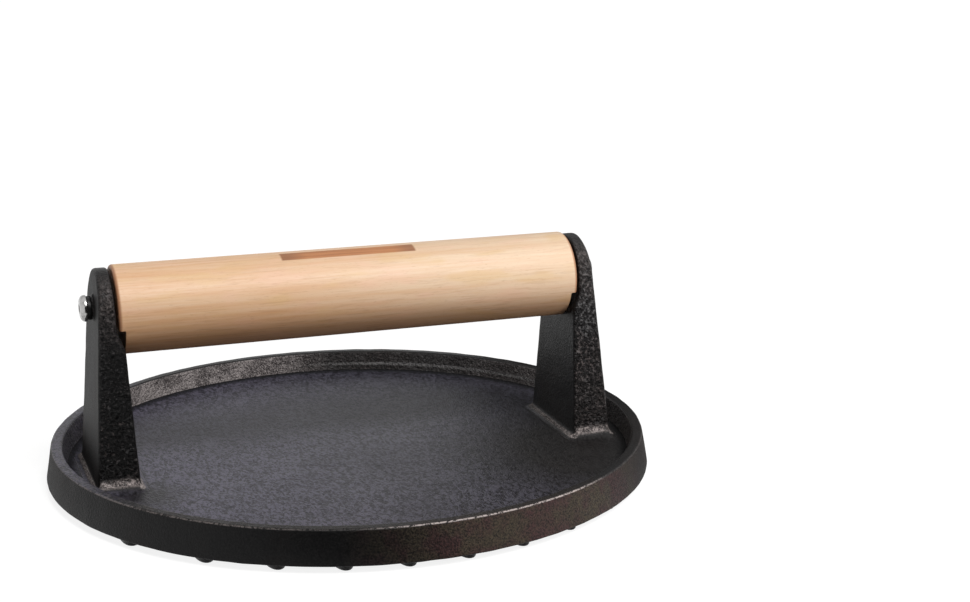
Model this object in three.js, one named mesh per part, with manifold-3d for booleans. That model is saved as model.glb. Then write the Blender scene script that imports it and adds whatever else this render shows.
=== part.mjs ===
// A round cast-iron burger press with a wooden handle, in millimetres, +Z up.
// The origin is under the middle of the plate, on the plane of the rib tips that the press rests on.
// The handle runs along X. Both ends are alike, so the left end is the right end turned half round.

import * as THREE from 'three';
import * as BufferGeometryUtils from 'three/addons/utils/BufferGeometryUtils.js';
import Module from 'manifold-3d';

// Plate: a shallow round dish with a drafted wall
const plateRadius = 90;
const wallHeight = 9.8;
const wallDraftRun = 1.6;
const rimTopWidth = 3.5;
const rimInnerRun = 0.9;
const floorThickness = 3.2;
const rimEdgeRadius = 0.8;
const floorFilletRadius = 1.6;
const bottomEdgeRadius = 0.4;

// Ribs under the plate, square to the handle
const ribPitch = 16.3;
const ribHeight = 2.1;
const ribTipWidth = 5.2;
const ribRootWidth = 7;
const ribEndMargin = 2;
const ribEndRun = 0.8;
const ribEndRadius = 1.8;
const ribRimMargin = 0.9;
const ribFieldMargin = 7.5;

// Uprights: two drafted posts that stand on the floor of the plate
const footToRimGap = 5.75;
const footThickness = 12.2;
const footHalfWidth = 18;
const footFaceFillet = 2.5;
const footSideFillet = 5.5;
const outerFaceDraftDegrees = 4.5;
const innerFaceDraftDegrees = 2.1;
const uprightEdgeRadius = 0.9;
const tabThickness = 5;
const tabTopInset = 0.6;
const shoulderDrop = 3.85;
const shoulderSlopeHeight = 4.9;

// Screw seats on the outer face of each upright, square to the handle
const seatDiameter = 7;
const seatProud = 0.45;
const seatFootRadius = 0.5;

// Handle
const handleDiameter = 25.6;
const gripClearance = 35.6;
const handleEndGap = 0.6;
const handleEndRadius = 0.9;
const notchClearance = 0.5;
const notchTopClearance = 0.3;

// M4 button-head screws, spring washers and threaded inserts, a little above the handle's own axis
const screwRise = 1;
const screwDiameter = 4;
const screwLength = 16;
const screwTipChamfer = 0.5;
const headDiameter = 7.6;
const headHeight = 1.9;
const headRimHeight = 0.5;
const headFlatDiameter = 3.4;
const socketAcrossFlats = 2.5;
const socketDepth = 1.3;
const washerDiameter = 6.8;
const washerThickness = 1.2;
const washerSplitWidth = 0.7;
const insertDiameter = 6.4;
const insertLength = 10;
const insertSetBack = 0.2;
const insertRidgeDepth = 0.4;
const insertRidgePitch = 1.6;

// Clearances between pieces, and the overrun of every cut
const screwClearance = 0.3;
const casingHoleClearance = 0.4;
const insertSeatClearance = 0.1;
const tipRoom = 1.2;
const stackClearance = 0.05;
const overrun = 1;

// Facets of the round surfaces
const plateSegments = 80;
const handleSegments = 48;
const screwSegments = 24;
const ribEndSteps = 4;
const edgeSteps = 3;
const filletSteps = 5;
const topArcSteps = 9;

// Places that follow from the sizes above
const underside = ribHeight;
const floorTop = underside + floorThickness;
const rimTop = underside + wallHeight;
const rimOuterRadius = plateRadius - wallDraftRun;
const rimInnerRadius = rimOuterRadius - rimTopWidth;
const floorRadius = rimInnerRadius - rimInnerRun;
const handleRadius = handleDiameter / 2;
const axisHeight = floorTop + gripClearance + handleRadius;
const screwHeight = axisHeight + screwRise;
const outerFaceSlope = Math.tan(THREE.MathUtils.degToRad(outerFaceDraftDegrees));
const innerFaceSlope = Math.tan(THREE.MathUtils.degToRad(innerFaceDraftDegrees));
const outerFootX = floorRadius - footToRimGap;
const innerFootX = outerFootX - footThickness;
const tabInnerX = outerFaceX(axisHeight) - tabThickness;
const shoulderTop = axisHeight - shoulderDrop;
const shoulderBottom = shoulderTop - shoulderSlopeHeight;
const tabTopRadius = handleRadius - tabTopInset;
const sideAngle = tangentAngle(footHalfWidth, axisHeight - floorTop, tabTopRadius);
const seatFaceX = outerFaceX(screwHeight) + seatProud;
const headSeatX = seatFaceX + stackClearance + washerThickness + stackClearance;
const handleHalfLength = tabInnerX - handleEndGap;
const notchFaceX = innerFaceX(shoulderBottom) - notchClearance;
const screwRadius = screwDiameter / 2;
const screwTipX = headSeatX - screwLength;
const insertOuterX = handleHalfLength - insertSetBack;
const insertInnerX = insertOuterX - insertLength;
const pilotRadius = insertDiameter / 2 + insertSeatClearance;
const pilotBottomX = Math.min(insertInnerX, screwTipX) - tipRoom;

const wasm = await Module();
wasm.setup();

// Height lines of an upright

function outerFaceX(z) {
  return outerFootX - outerFaceSlope * (z - floorTop);
}

function plainInnerFaceX(z) {
  return innerFootX + innerFaceSlope * (z - floorTop);
}

function innerFaceX(z) {
  if (z <= shoulderBottom) return plainInnerFaceX(z);
  const below = plainInnerFaceX(shoulderBottom);
  const share = Math.min((z - shoulderBottom) / shoulderSlopeHeight, 1);
  return below + share * (tabInnerX - below);
}

// The lean of a straight side that runs from a foot, half a width out and a drop below, tangent to a round top
function tangentAngle(halfWidth, drop, radius) {
  return Math.acos(radius / Math.hypot(halfWidth, drop)) - Math.atan2(drop, halfWidth);
}

// The half width of an upright at a height: straight sides that run into a round top about the handle's axis
function halfWidthAt(z) {
  const rise = z - axisHeight;
  if (rise > tabTopRadius * Math.sin(sideAngle)) return Math.sqrt(Math.max(tabTopRadius ** 2 - rise ** 2, 0));
  return (tabTopRadius - rise * Math.sin(sideAngle)) / Math.cos(sideAngle);
}

// How far in from its outline a point of the upright lies
function depthInOutline(y, z, spread) {
  const rise = z - axisHeight;
  if (rise > tabTopRadius * Math.sin(sideAngle)) return tabTopRadius - Math.hypot(y, rise);
  return tabTopRadius + spread - Math.abs(y) * Math.cos(sideAngle) - rise * Math.sin(sideAngle);
}

// How far a rounded edge has drawn in at a depth from the outline
function edgeInset(depth, radius) {
  const left = radius - Math.min(Math.max(depth, 0), radius);
  return radius - Math.sqrt(Math.max(radius ** 2 - left ** 2, 0));
}

// How far the foot's fillet stands out at a height
function footSpread(z, filletRadius) {
  return edgeInset(z - floorTop, filletRadius);
}

// Helpers for closed meshes

function withoutSlivers(geometry) {
  const index = geometry.index.array;
  const kept = [];
  for (let i = 0; i < index.length; i += 3) {
    const [a, b, c] = [index[i], index[i + 1], index[i + 2]];
    if (a !== b && b !== c && c !== a) kept.push(a, b, c);
  }
  geometry.setIndex(kept);
  return geometry;
}

function signedVolume(geometry) {
  const position = geometry.attributes.position;
  const index = geometry.index.array;
  const corners = [new THREE.Vector3(), new THREE.Vector3(), new THREE.Vector3()];
  let volume = 0;
  for (let i = 0; i < index.length; i += 3) {
    corners.forEach((corner, k) => corner.fromBufferAttribute(position, index[i + k]));
    volume += corners[0].dot(corners[1].cross(corners[2])) / 6;
  }
  return volume;
}

// Merges the shared vertices of a closed geometry and turns its faces outwards
function closed(geometry) {
  geometry.deleteAttribute('normal');
  geometry.deleteAttribute('uv');
  const merged = withoutSlivers(BufferGeometryUtils.mergeVertices(geometry));
  if (signedVolume(merged) < 0) merged.setIndex(Array.from(merged.index.array).reverse());
  return merged;
}

function toSolid(geometry) {
  const whole = closed(geometry);
  const mesh = new wasm.Mesh({
    numProp: 3,
    vertProperties: new Float32Array(whole.attributes.position.array),
    triVerts: new Uint32Array(whole.index.array),
  });
  return new wasm.Manifold(mesh);
}

function fromSolid(solid) {
  const mesh = solid.getMesh();
  const geometry = new THREE.BufferGeometry();
  geometry.setAttribute('position', new THREE.BufferAttribute(mesh.vertProperties, 3));
  geometry.setIndex(new THREE.BufferAttribute(mesh.triVerts, 1));
  return geometry;
}

function arc(centreX, centreY, radius, fromDegrees, toDegrees, steps) {
  const points = [];
  for (let i = 0; i <= steps; i += 1) {
    const angle = THREE.MathUtils.degToRad(fromDegrees + (toDegrees - fromDegrees) * i / steps);
    points.push(new THREE.Vector2(centreX + radius * Math.cos(angle), centreY + radius * Math.sin(angle)));
  }
  return points;
}

function point(radius, along) {
  return new THREE.Vector2(radius, along);
}

// A profile of radius and height, turned about the Z axis
function turnedUpright(profile, segments) {
  return new THREE.LatheGeometry(profile, segments).rotateX(Math.PI / 2);
}

// A profile of radius and place along X, turned about a line along X at a height
function turnedAlong(height, profile, segments) {
  return new THREE.LatheGeometry(profile, segments).rotateZ(-Math.PI / 2).translate(0, 0, height);
}

// A closed skin over a stack of rings with as many points each, with a fan at both ends
function skinOver(rings, firstTip, lastTip) {
  const count = rings[0].length;
  const vertices = [...rings.flat(), firstTip, lastTip];
  const [firstIndex, lastIndex] = [vertices.length - 2, vertices.length - 1];
  const faces = [];
  for (let i = 0; i < count; i += 1) {
    const next = (i + 1) % count;
    faces.push(firstIndex, next, i);
    faces.push(lastIndex, (rings.length - 1) * count + i, (rings.length - 1) * count + next);
    for (let level = 0; level + 1 < rings.length; level += 1) {
      const [low, high] = [level * count, (level + 1) * count];
      faces.push(low + i, low + next, high + next, low + i, high + next, high + i);
    }
  }
  const geometry = new THREE.BufferGeometry().setFromPoints(vertices);
  geometry.setIndex(faces);
  return geometry;
}

// The casting

function plateGeometry() {
  const wallLean = THREE.MathUtils.radToDeg(Math.atan2(wallDraftRun, wallHeight));
  const innerLean = THREE.MathUtils.radToDeg(Math.atan2(rimInnerRun, rimTop - floorTop));
  const edgeCentre = plateRadius - bottomEdgeRadius;
  const filletCentre = floorRadius - floorFilletRadius;
  const profile = [
    point(0, underside),
    ...arc(edgeCentre, underside + bottomEdgeRadius, bottomEdgeRadius, -90, wallLean, edgeSteps),
    ...arc(rimOuterRadius - rimEdgeRadius, rimTop - rimEdgeRadius, rimEdgeRadius, wallLean, 90, edgeSteps),
    ...arc(rimInnerRadius + rimEdgeRadius, rimTop - rimEdgeRadius, rimEdgeRadius, 90, 180 - innerLean, edgeSteps),
    ...arc(filletCentre, floorTop + floorFilletRadius, floorFilletRadius, -innerLean, -90, filletSteps),
    point(0, floorTop),
  ];
  return turnedUpright(profile, plateSegments);
}

// The level section of a rib at a height: a long bar with rounded corners, wider towards its root
function ribRing(x, z) {
  const widening = (ribRootWidth - ribTipWidth) / 2 * z / ribHeight;
  const radius = ribEndRadius + widening;
  const cornerX = ribTipWidth / 2 + widening - radius;
  const tipEndY = Math.sqrt((plateRadius - ribEndMargin) ** 2 - x ** 2);
  const cornerY = tipEndY + ribEndRun * z / ribHeight - radius;
  const corners = [[1, 1, 0], [-1, 1, 90], [-1, -1, 180], [1, -1, 270]];
  return corners.flatMap(([sideX, sideY, from]) => {
    const corner = arc(x + sideX * cornerX, sideY * cornerY, radius, from, from + 90, ribEndSteps);
    return corner.map((place) => new THREE.Vector3(place.x, place.y, z));
  });
}

// A straight rib with sloping sides and ends, its tip on the plane that the press rests on
function ribGeometry(x) {
  const top = ribHeight + overrun;
  return skinOver([ribRing(x, 0), ribRing(x, top)], new THREE.Vector3(x, 0, 0), new THREE.Vector3(x, 0, top));
}

// The round field that the outermost rib ends keep inside
function ribFieldGeometry() {
  const top = ribHeight + overrun;
  const rootRadius = plateRadius - ribRimMargin;
  const profile = [
    point(0, -overrun),
    point(rootRadius - ribEndRun * (top / ribHeight), -overrun),
    point(rootRadius - ribEndRun, 0),
    point(rootRadius, ribHeight),
    point(rootRadius, top),
    point(0, top),
  ];
  return turnedUpright(profile, plateSegments);
}

function ribPlaces() {
  const field = 2 * (plateRadius - ribFieldMargin);
  const count = Math.floor(field / ribPitch);
  return Array.from({ length: count }, (_, i) => (i - (count - 1) / 2) * ribPitch);
}

// The level section of the right upright at a height, with its vertical edges rounded
const acrossShares = [0, 0.45, 0.75, 0.85, 0.92, 0.965, 1];

function uprightRing(z) {
  const faceSpread = footSpread(z, footFaceFillet);
  const sideSpread = footSpread(z, footSideFillet);
  const faceRadius = uprightEdgeRadius + faceSpread;
  const sideRadius = uprightEdgeRadius + sideSpread;
  const halfWidth = halfWidthAt(z) + sideSpread;
  const shares = [...acrossShares.slice(1).reverse().map((share) => -share), ...acrossShares];
  const places = shares.map((share) => {
    const y = share * halfWidth;
    return [y, edgeInset(depthInOutline(y, z, sideSpread), sideRadius) * faceRadius / sideRadius];
  });
  const outer = places.map(([y, inset]) => new THREE.Vector3(outerFaceX(z) + faceSpread - inset, y, z));
  const inner = places.map(([y, inset]) => new THREE.Vector3(innerFaceX(z) - faceSpread + inset, y, z));
  return [...outer, ...inner.reverse()];
}

function uprightHeights() {
  const heights = [underside + floorThickness / 2, floorTop];
  for (let i = 1; i <= filletSteps; i += 1) {
    const rise = 1 - Math.cos(Math.PI / 2 * i / filletSteps);
    heights.push(floorTop + footFaceFillet * rise, floorTop + footSideFillet * rise);
  }
  heights.push(shoulderBottom, shoulderTop);
  for (let i = 0; i < topArcSteps; i += 1) {
    const angle = sideAngle + (Math.PI / 2 - sideAngle) * i / topArcSteps;
    heights.push(axisHeight + tabTopRadius * Math.sin(angle));
  }
  return heights.sort((a, b) => a - b);
}

function uprightGeometry() {
  const rings = uprightHeights().map(uprightRing);
  const footMiddle = new THREE.Vector3((outerFootX + innerFootX) / 2, 0, underside + floorThickness / 2);
  const topHeight = axisHeight + tabTopRadius;
  const topMiddle = new THREE.Vector3((outerFaceX(topHeight) + tabInnerX) / 2, 0, topHeight);
  return skinOver(rings, footMiddle, topMiddle);
}

// A low round seat for the washer, square to the screw, on the leaning outer face
function seatGeometry() {
  const seatRadius = seatDiameter / 2;
  const innerX = tabInnerX + tabThickness / 2;
  const footX = outerFaceX(screwHeight);
  const profile = [
    point(0, innerX),
    point(seatRadius + seatFootRadius, innerX),
    point(seatRadius + seatFootRadius, footX - seatFootRadius),
    ...arc(seatRadius + seatFootRadius, footX + seatFootRadius, seatFootRadius, -90, -180, edgeSteps),
    point(seatRadius, seatFaceX),
    point(0, seatFaceX),
  ];
  return turnedAlong(screwHeight, profile, screwSegments);
}

function screwHoleGeometry() {
  const radius = screwRadius + casingHoleClearance;
  const profile = [
    point(0, tabInnerX - overrun),
    point(radius, tabInnerX - overrun),
    point(radius, seatFaceX + overrun),
    point(0, seatFaceX + overrun),
  ];
  return turnedAlong(screwHeight, profile, screwSegments);
}

function bothEnds(makeGeometry) {
  return [toSolid(makeGeometry()), toSolid(makeGeometry().rotateZ(Math.PI))];
}

function castingGeometry() {
  const ribField = toSolid(ribFieldGeometry());
  let casting = toSolid(plateGeometry());
  for (const x of ribPlaces()) casting = casting.add(toSolid(ribGeometry(x)).intersect(ribField));
  for (const upright of bothEnds(uprightGeometry)) casting = casting.add(upright);
  for (const seat of bothEnds(seatGeometry)) casting = casting.add(seat);
  for (const hole of bothEnds(screwHoleGeometry)) casting = casting.subtract(hole);
  return fromSolid(casting);
}

// The handle: a dowel with rounded ends

function dowelGeometry() {
  const endCentre = handleHalfLength - handleEndRadius;
  const edgeCentre = handleRadius - handleEndRadius;
  const profile = [
    point(0, -handleHalfLength),
    ...arc(edgeCentre, -endCentre, handleEndRadius, -90, 0, edgeSteps),
    ...arc(edgeCentre, endCentre, handleEndRadius, 0, 90, edgeSteps),
    point(0, handleHalfLength),
  ];
  return turnedAlong(axisHeight, profile, handleSegments);
}

// The blind hole in an end of the dowel, for the insert and the screw's tip
function pilotHoleGeometry() {
  const outerX = handleHalfLength + overrun;
  const profile = [
    point(0, pilotBottomX),
    point(pilotRadius, pilotBottomX),
    point(pilotRadius, outerX),
    point(0, outerX),
  ];
  return turnedAlong(screwHeight, profile, screwSegments);
}

// The step cut under each end of the dowel, which sits over the upright's shoulder and stops it turning
function notchGeometry() {
  const top = shoulderTop + notchTopClearance;
  const bottom = axisHeight - handleRadius - overrun;
  const outerX = handleHalfLength + overrun;
  const notch = new THREE.BoxGeometry(outerX - notchFaceX, handleDiameter + overrun, top - bottom);
  return notch.translate((outerX + notchFaceX) / 2, 0, (top + bottom) / 2);
}

function handleGeometry() {
  let handle = toSolid(dowelGeometry());
  for (const notch of bothEnds(notchGeometry)) handle = handle.subtract(notch);
  for (const hole of bothEnds(pilotHoleGeometry)) handle = handle.subtract(hole);
  return fromSolid(handle);
}

// Screws, washers and inserts, drawn for the right end

function screwBodyGeometry() {
  const headRadius = headDiameter / 2;
  const flatRadius = headFlatDiameter / 2;
  const rimX = headSeatX + headRimHeight;
  const topX = headSeatX + headHeight;
  const domeDrop = topX - rimX;
  const domeRun = headRadius - flatRadius;
  const profile = [
    point(0, screwTipX),
    point(screwRadius - screwTipChamfer, screwTipX),
    point(screwRadius, screwTipX + screwTipChamfer),
    point(screwRadius, headSeatX),
    point(headRadius, headSeatX),
  ];
  const domeSteps = filletSteps + 1;
  for (let i = 0; i <= domeSteps; i += 1) {
    const angle = Math.PI / 2 * i / domeSteps;
    profile.push(point(flatRadius + domeRun * Math.cos(angle), rimX + domeDrop * Math.sin(angle)));
  }
  profile.push(point(0, topX));
  return turnedAlong(screwHeight, profile, screwSegments);
}

function socketGeometry() {
  const length = socketDepth + overrun;
  const cornerRadius = socketAcrossFlats / Math.sqrt(3);
  const socket = new THREE.CylinderGeometry(cornerRadius, cornerRadius, length, 6).rotateZ(-Math.PI / 2);
  return socket.translate(headSeatX + headHeight - socketDepth + length / 2, 0, screwHeight);
}

function screwGeometry() {
  return fromSolid(toSolid(screwBodyGeometry()).subtract(toSolid(socketGeometry())));
}

// A split spring washer: a flat ring with a gap at the top
function washerGeometry() {
  const inner = screwRadius + screwClearance;
  const outer = washerDiameter / 2;
  const innerHalfGap = Math.asin(washerSplitWidth / 2 / inner);
  const outerHalfGap = Math.asin(washerSplitWidth / 2 / outer);
  const shape = new THREE.Shape();
  shape.absarc(0, 0, outer, outerHalfGap, 2 * Math.PI - outerHalfGap, false);
  shape.absarc(0, 0, inner, 2 * Math.PI - innerHalfGap, innerHalfGap, true);
  shape.closePath();
  const ring = new THREE.ExtrudeGeometry(shape, {
    depth: washerThickness,
    bevelEnabled: false,
    curveSegments: screwSegments,
  });
  return closed(ring.rotateY(Math.PI / 2).translate(seatFaceX + stackClearance, 0, screwHeight));
}

// A brass sleeve with ridges that grip the wood
function insertGeometry() {
  const outer = insertDiameter / 2;
  const bore = screwRadius + screwClearance;
  const ridges = Math.max(Math.floor(insertLength / insertRidgePitch), 1);
  const pitch = insertLength / ridges;
  const profile = [point(bore, insertInnerX), point(outer - insertRidgeDepth, insertInnerX)];
  for (let i = 0; i < ridges; i += 1) {
    const middle = insertInnerX + (i + 0.5) * pitch;
    profile.push(point(outer, middle));
    profile.push(point(outer - insertRidgeDepth, middle + pitch / 2));
  }
  profile.push(point(bore, insertOuterX), point(bore, insertInnerX));
  return closed(turnedAlong(screwHeight, profile, screwSegments));
}

// Materials

function ironMaterial() {
  return new THREE.MeshStandardMaterial({ color: 0x2b2b2d, roughness: 0.62, metalness: 0.35 });
}

function beechMaterial() {
  return new THREE.MeshStandardMaterial({ color: 0xe3c092, roughness: 0.5, metalness: 0 });
}

function screwMaterial() {
  return new THREE.MeshStandardMaterial({ color: 0xc9cacc, roughness: 0.18, metalness: 1 });
}

function washerMaterial() {
  return new THREE.MeshStandardMaterial({ color: 0x1d1d1f, roughness: 0.4, metalness: 0.8 });
}

function brassMaterial() {
  return new THREE.MeshStandardMaterial({ color: 0xb8934a, roughness: 0.35, metalness: 1 });
}

// Assembly

function namedMesh(name, geometry, material) {
  const mesh = new THREE.Mesh(geometry, material);
  mesh.name = name;
  return mesh;
}

function fasteners(side) {
  const group = new THREE.Group();
  group.add(namedMesh(`handle_screw_${side}`, screwGeometry(), screwMaterial()));
  group.add(namedMesh(`spring_washer_${side}`, washerGeometry(), washerMaterial()));
  group.add(namedMesh(`threaded_insert_${side}`, insertGeometry(), brassMaterial()));
  return group;
}

const press = new THREE.Group();
press.add(namedMesh('press_casting', castingGeometry(), ironMaterial()));
press.add(namedMesh('wooden_handle', handleGeometry(), beechMaterial()));
press.add(fasteners('right'));
const leftFasteners = fasteners('left');
leftFasteners.rotation.z = Math.PI;
press.add(leftFasteners);

export default press;
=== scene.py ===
# %% [markdown]
# A cast-iron burger press
#
# The press is a round iron plate that a cook sets on a burger in a hot pan. It has a raised rim and a
# ribbed underside, and two cast uprights carry a beech handle between them. A button-head screw holds
# each end of the handle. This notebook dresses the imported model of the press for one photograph:
# finer surfaces where iron, wood and steel show, and a finish for each of them.

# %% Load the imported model
import bpy
import numpy as np
from mathutils import Matrix, Vector


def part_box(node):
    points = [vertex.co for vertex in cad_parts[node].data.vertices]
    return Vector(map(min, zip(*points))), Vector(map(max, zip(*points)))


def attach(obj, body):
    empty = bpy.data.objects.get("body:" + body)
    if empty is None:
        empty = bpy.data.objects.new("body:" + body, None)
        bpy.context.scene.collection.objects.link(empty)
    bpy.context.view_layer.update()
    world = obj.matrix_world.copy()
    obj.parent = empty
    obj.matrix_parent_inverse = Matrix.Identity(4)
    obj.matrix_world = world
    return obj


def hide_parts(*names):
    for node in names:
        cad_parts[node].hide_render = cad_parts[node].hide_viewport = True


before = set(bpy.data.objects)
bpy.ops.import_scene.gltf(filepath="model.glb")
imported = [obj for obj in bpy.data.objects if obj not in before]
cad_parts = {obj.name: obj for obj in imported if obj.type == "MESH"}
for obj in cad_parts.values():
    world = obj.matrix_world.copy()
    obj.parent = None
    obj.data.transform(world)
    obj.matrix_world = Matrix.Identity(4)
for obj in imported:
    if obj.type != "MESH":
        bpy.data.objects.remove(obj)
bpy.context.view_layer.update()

scene = bpy.context.scene
print("packed nodes:", sorted(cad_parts))

# %% [markdown]
# Sizes
#
# Everything is worked out in metres, from sizes in millimetres that were read off the photograph. The
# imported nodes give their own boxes, so three of the sizes are compared with them before anything is made.

# %% Sizes of the press
mm = 0.001
plate_radius = 90 * mm
underside = 2.1 * mm
floor_top = underside + 3.2 * mm
rim_top = underside + 9.8 * mm
rim_outer = plate_radius - 1.6 * mm
rim_inner = rim_outer - 3.5 * mm
floor_radius = rim_inner - 0.9 * mm

handle_radius = 12.8 * mm
axis_height = floor_top + 35.6 * mm + handle_radius
screw_height = axis_height + 1 * mm

foot_outer = floor_radius - 5.75 * mm
foot_inner = foot_outer - 12.2 * mm
foot_half_width = 18 * mm
face_fillet, side_fillet = 2.5 * mm, 4 * mm
outer_lean = np.tan(np.radians(4.5))
inner_lean = np.tan(np.radians(2.1))
tab_inner = foot_outer - outer_lean * (axis_height - floor_top) - 5 * mm
tab_radius = handle_radius - 0.6 * mm
shoulder_top = axis_height - 3.85 * mm
shoulder_bottom = shoulder_top - 4.9 * mm
seat_face = foot_outer - outer_lean * (screw_height - floor_top) + 0.45 * mm
head_seat = seat_face + 1.3 * mm
handle_half_length = tab_inner - 0.6 * mm

iron_low, iron_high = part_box("press_casting")
wood_low, wood_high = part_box("wooden_handle")
for what, size, packed in (
    ("plate across", 2 * plate_radius, iron_high[0] - iron_low[0]),
    ("top of the uprights", axis_height + tab_radius, iron_high[2]),
    ("length of the handle", 2 * handle_half_length, wood_high[0] - wood_low[0]),
):
    print(f"{what}, mm: {size / mm:.2f}, packed: {packed / mm:.2f}")

# %% [markdown]
# The camera
#
# The photograph was taken from in front and a little to the left, about 16 degrees above the worktop.
# The camera below was fitted to the outlines of the plate, the handle and the uprights, so a point of
# the model lands on the pixel where the photograph shows it.

# %% Set up the camera
def new_object(name, data):
    """A new object in the scene that holds a camera, a lamp or a mesh."""
    made = bpy.data.objects.new(name, data)
    scene.collection.objects.link(made)
    return made


azimuth, elevation, roll = np.radians([-20.791, 15.933, 0.126])
backwards = np.array([
    np.sin(azimuth) * np.cos(elevation),
    -np.cos(azimuth) * np.cos(elevation),
    np.sin(elevation),
])
level_right = np.cross(-backwards, [0, 0, 1])
level_right /= np.linalg.norm(level_right)
level_up = np.cross(backwards, level_right)
camera_right = level_right * np.cos(roll) + level_up * np.sin(roll)
camera_up = level_up * np.cos(roll) - level_right * np.sin(roll)

camera_data = bpy.data.cameras.new("camera")
camera_data.lens = 64.692
camera_data.sensor_width = 36
camera_data.sensor_fit = "HORIZONTAL"
camera_data.shift_x = -0.0291
camera_data.shift_y = 0.0737
camera_data.clip_start = 0.01
camera = new_object("camera", camera_data)
placing = Matrix([camera_right, camera_up, backwards]).transposed().to_4x4()
placing.translation = Vector((-0.13295, -0.48911, 0.17244))
camera.matrix_world = placing
scene.camera = camera
scene.view_settings.view_transform = "Standard"
print("camera placed", [round(c, 3) for c in camera.location])

# %% [markdown]
# Shader sums as Python
#
# A material is a graph of small nodes, and a long sum of Math nodes is hard to read. The class below
# wraps one output socket, so that `1 - mask * 0.4` in Python adds the nodes for that sum. Colours go
# through Mix nodes, because a Math node would turn them grey.

# %% A small language for materials
class Wire:
    """One output socket of a material. Python's operators on it add Math nodes."""

    def __init__(self, tree, socket):
        self.tree = tree
        self.socket = socket

    def math(self, operation, *others):
        """The result of one Math operation on this wire and up to two more wires or numbers."""
        inputs = dict(enumerate([self, *others]))
        return node(self.tree, "ShaderNodeMath", {"operation": operation}, inputs)

    def __add__(self, other):
        return self.math("ADD", other)

    def __sub__(self, other):
        return self.math("SUBTRACT", other)

    def __mul__(self, other):
        return self.math("MULTIPLY", other)

    def __rsub__(self, other):
        return (self * -1) + other

    __radd__ = __add__
    __rmul__ = __mul__

    def ramp(self, low, high):
        """Rises smoothly from 0 where the wire is low to 1 where it is high."""
        inputs = {"Value": self, "From Min": low, "From Max": high}
        return node(self.tree, "ShaderNodeMapRange", {"interpolation_type": "SMOOTHSTEP"}, inputs)


def node(tree, kind, settings=None, inputs=None, output=0):
    """Adds a node, sets its settings, then its inputs, and returns one of its outputs as a wire."""
    made = tree.nodes.new(kind)
    for name, value in (settings or {}).items():
        setattr(made, name, value)
    for name, value in (inputs or {}).items():
        if isinstance(value, Wire):
            tree.links.new(value.socket, made.inputs[name])
        else:
            made.inputs[name].default_value = value
    return Wire(tree, made.outputs[output]) if made.outputs else made


def mixed(factor, first, second):
    """A colour between two colours: the first where the factor is 0, the second where it is 1."""
    inputs = {0: factor, 6: first, 7: second}
    return node(factor.tree, "ShaderNodeMix", {"data_type": "RGBA"}, inputs, output=2)


def layered(base, *layers):
    """A colour with others over it. Each layer is a factor, how much of it covers, and its colour."""
    for factor, over in layers:
        base = mixed(factor, base, over)
    return base


def colour(red, green, blue):
    """A screen colour, with channels up to 255, as the linear light that a material works in."""
    channels = np.array([red, green, blue]) / 255
    linear = np.where(channels <= 0.04045, channels / 12.92, ((channels + 0.055) / 1.055) ** 2.4)
    return (*linear.tolist(), 1.0)


def material(name):
    """A new material, and its node tree with nothing in it."""
    made = bpy.data.materials.new(name)
    made.use_nodes = True
    made.node_tree.nodes.clear()
    return made, made.node_tree


def object_point(tree, stretch=(1, 1, 1)):
    """The place on the piece, in metres, with each direction stretched for a pattern."""
    place = node(tree, "ShaderNodeTexCoord", output="Object")
    return node(tree, "ShaderNodeMapping", inputs={"Vector": place, "Scale": stretch})


def coordinate(place, axis):
    """One coordinate of a place: X, Y or Z, in metres."""
    return node(place.tree, "ShaderNodeSeparateXYZ", inputs={"Vector": place}, output=axis)


def noise(place, size, detail=2.0, roughness=0.5, distortion=0.0):
    """Soft noise whose blobs are about one size wide, in metres, around 0.5."""
    inputs = {
        "Vector": place,
        "Scale": 1 / size,
        "Detail": detail,
        "Roughness": roughness,
        "Distortion": distortion,
    }
    return node(place.tree, "ShaderNodeTexNoise", inputs=inputs)


def bumped(height, distance, strength=1.0):
    """A normal tilted by a height between 0 and 1 that stands for a distance in metres."""
    inputs = {"Height": height, "Distance": distance, "Strength": strength}
    return node(height.tree, "ShaderNodeBump", inputs=inputs)


def surface(tree, **sockets):
    """Ends a material in one Principled shader, with the sockets named in words."""
    inputs = {name.replace("_", " ").title().replace("Ior", "IOR"): value for name, value in sockets.items()}
    shader = node(tree, "ShaderNodeBsdfPrincipled", inputs=inputs)
    node(tree, "ShaderNodeOutputMaterial", inputs={"Surface": shader})


print("a screen grey of 128 as light:", round(colour(128, 128, 128)[0], 3))


# %% [markdown]
# The studio
#
# The press stands on a pale floor that runs into a white background. The world is plain white to the
# camera and in reflections, and weaker where it only lights the scene. A broad soft key comes from the
# camera's side, high up and a little to the right, because the photograph's wood shines there, and a
# small fill stands low at the right. Black iron shows what stands round it more than its own colour, so
# the studio also has cards that only reflections see: a dark card and a dark cloth in front, two warm
# cards at the front right, a grey cloth on the floor to either side and a dark screen behind.

# %% World
world = bpy.data.worlds.new("studio")
world.use_nodes = True
world.node_tree.nodes.clear()
scene.world = world


def seen_rays(tree):
    """1 for the rays that show the background: from the camera, in reflections and through glass."""
    kinds = ("Camera", "Glossy", "Transmission")
    rays = [node(tree, "ShaderNodeLightPath", output=f"Is {kind} Ray") for kind in kinds]
    return (rays[0] + rays[1] + rays[2]).math("MINIMUM", 1.0)


ambient = 0.1
strength = seen_rays(world.node_tree) * (1 - ambient) + ambient
inputs = {"Color": (1, 1, 1, 1), "Strength": strength}
background = node(world.node_tree, "ShaderNodeBackground", inputs=inputs)
node(world.node_tree, "ShaderNodeOutputWorld", inputs={"Surface": background})
print("light of the world on the press:", ambient)

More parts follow.
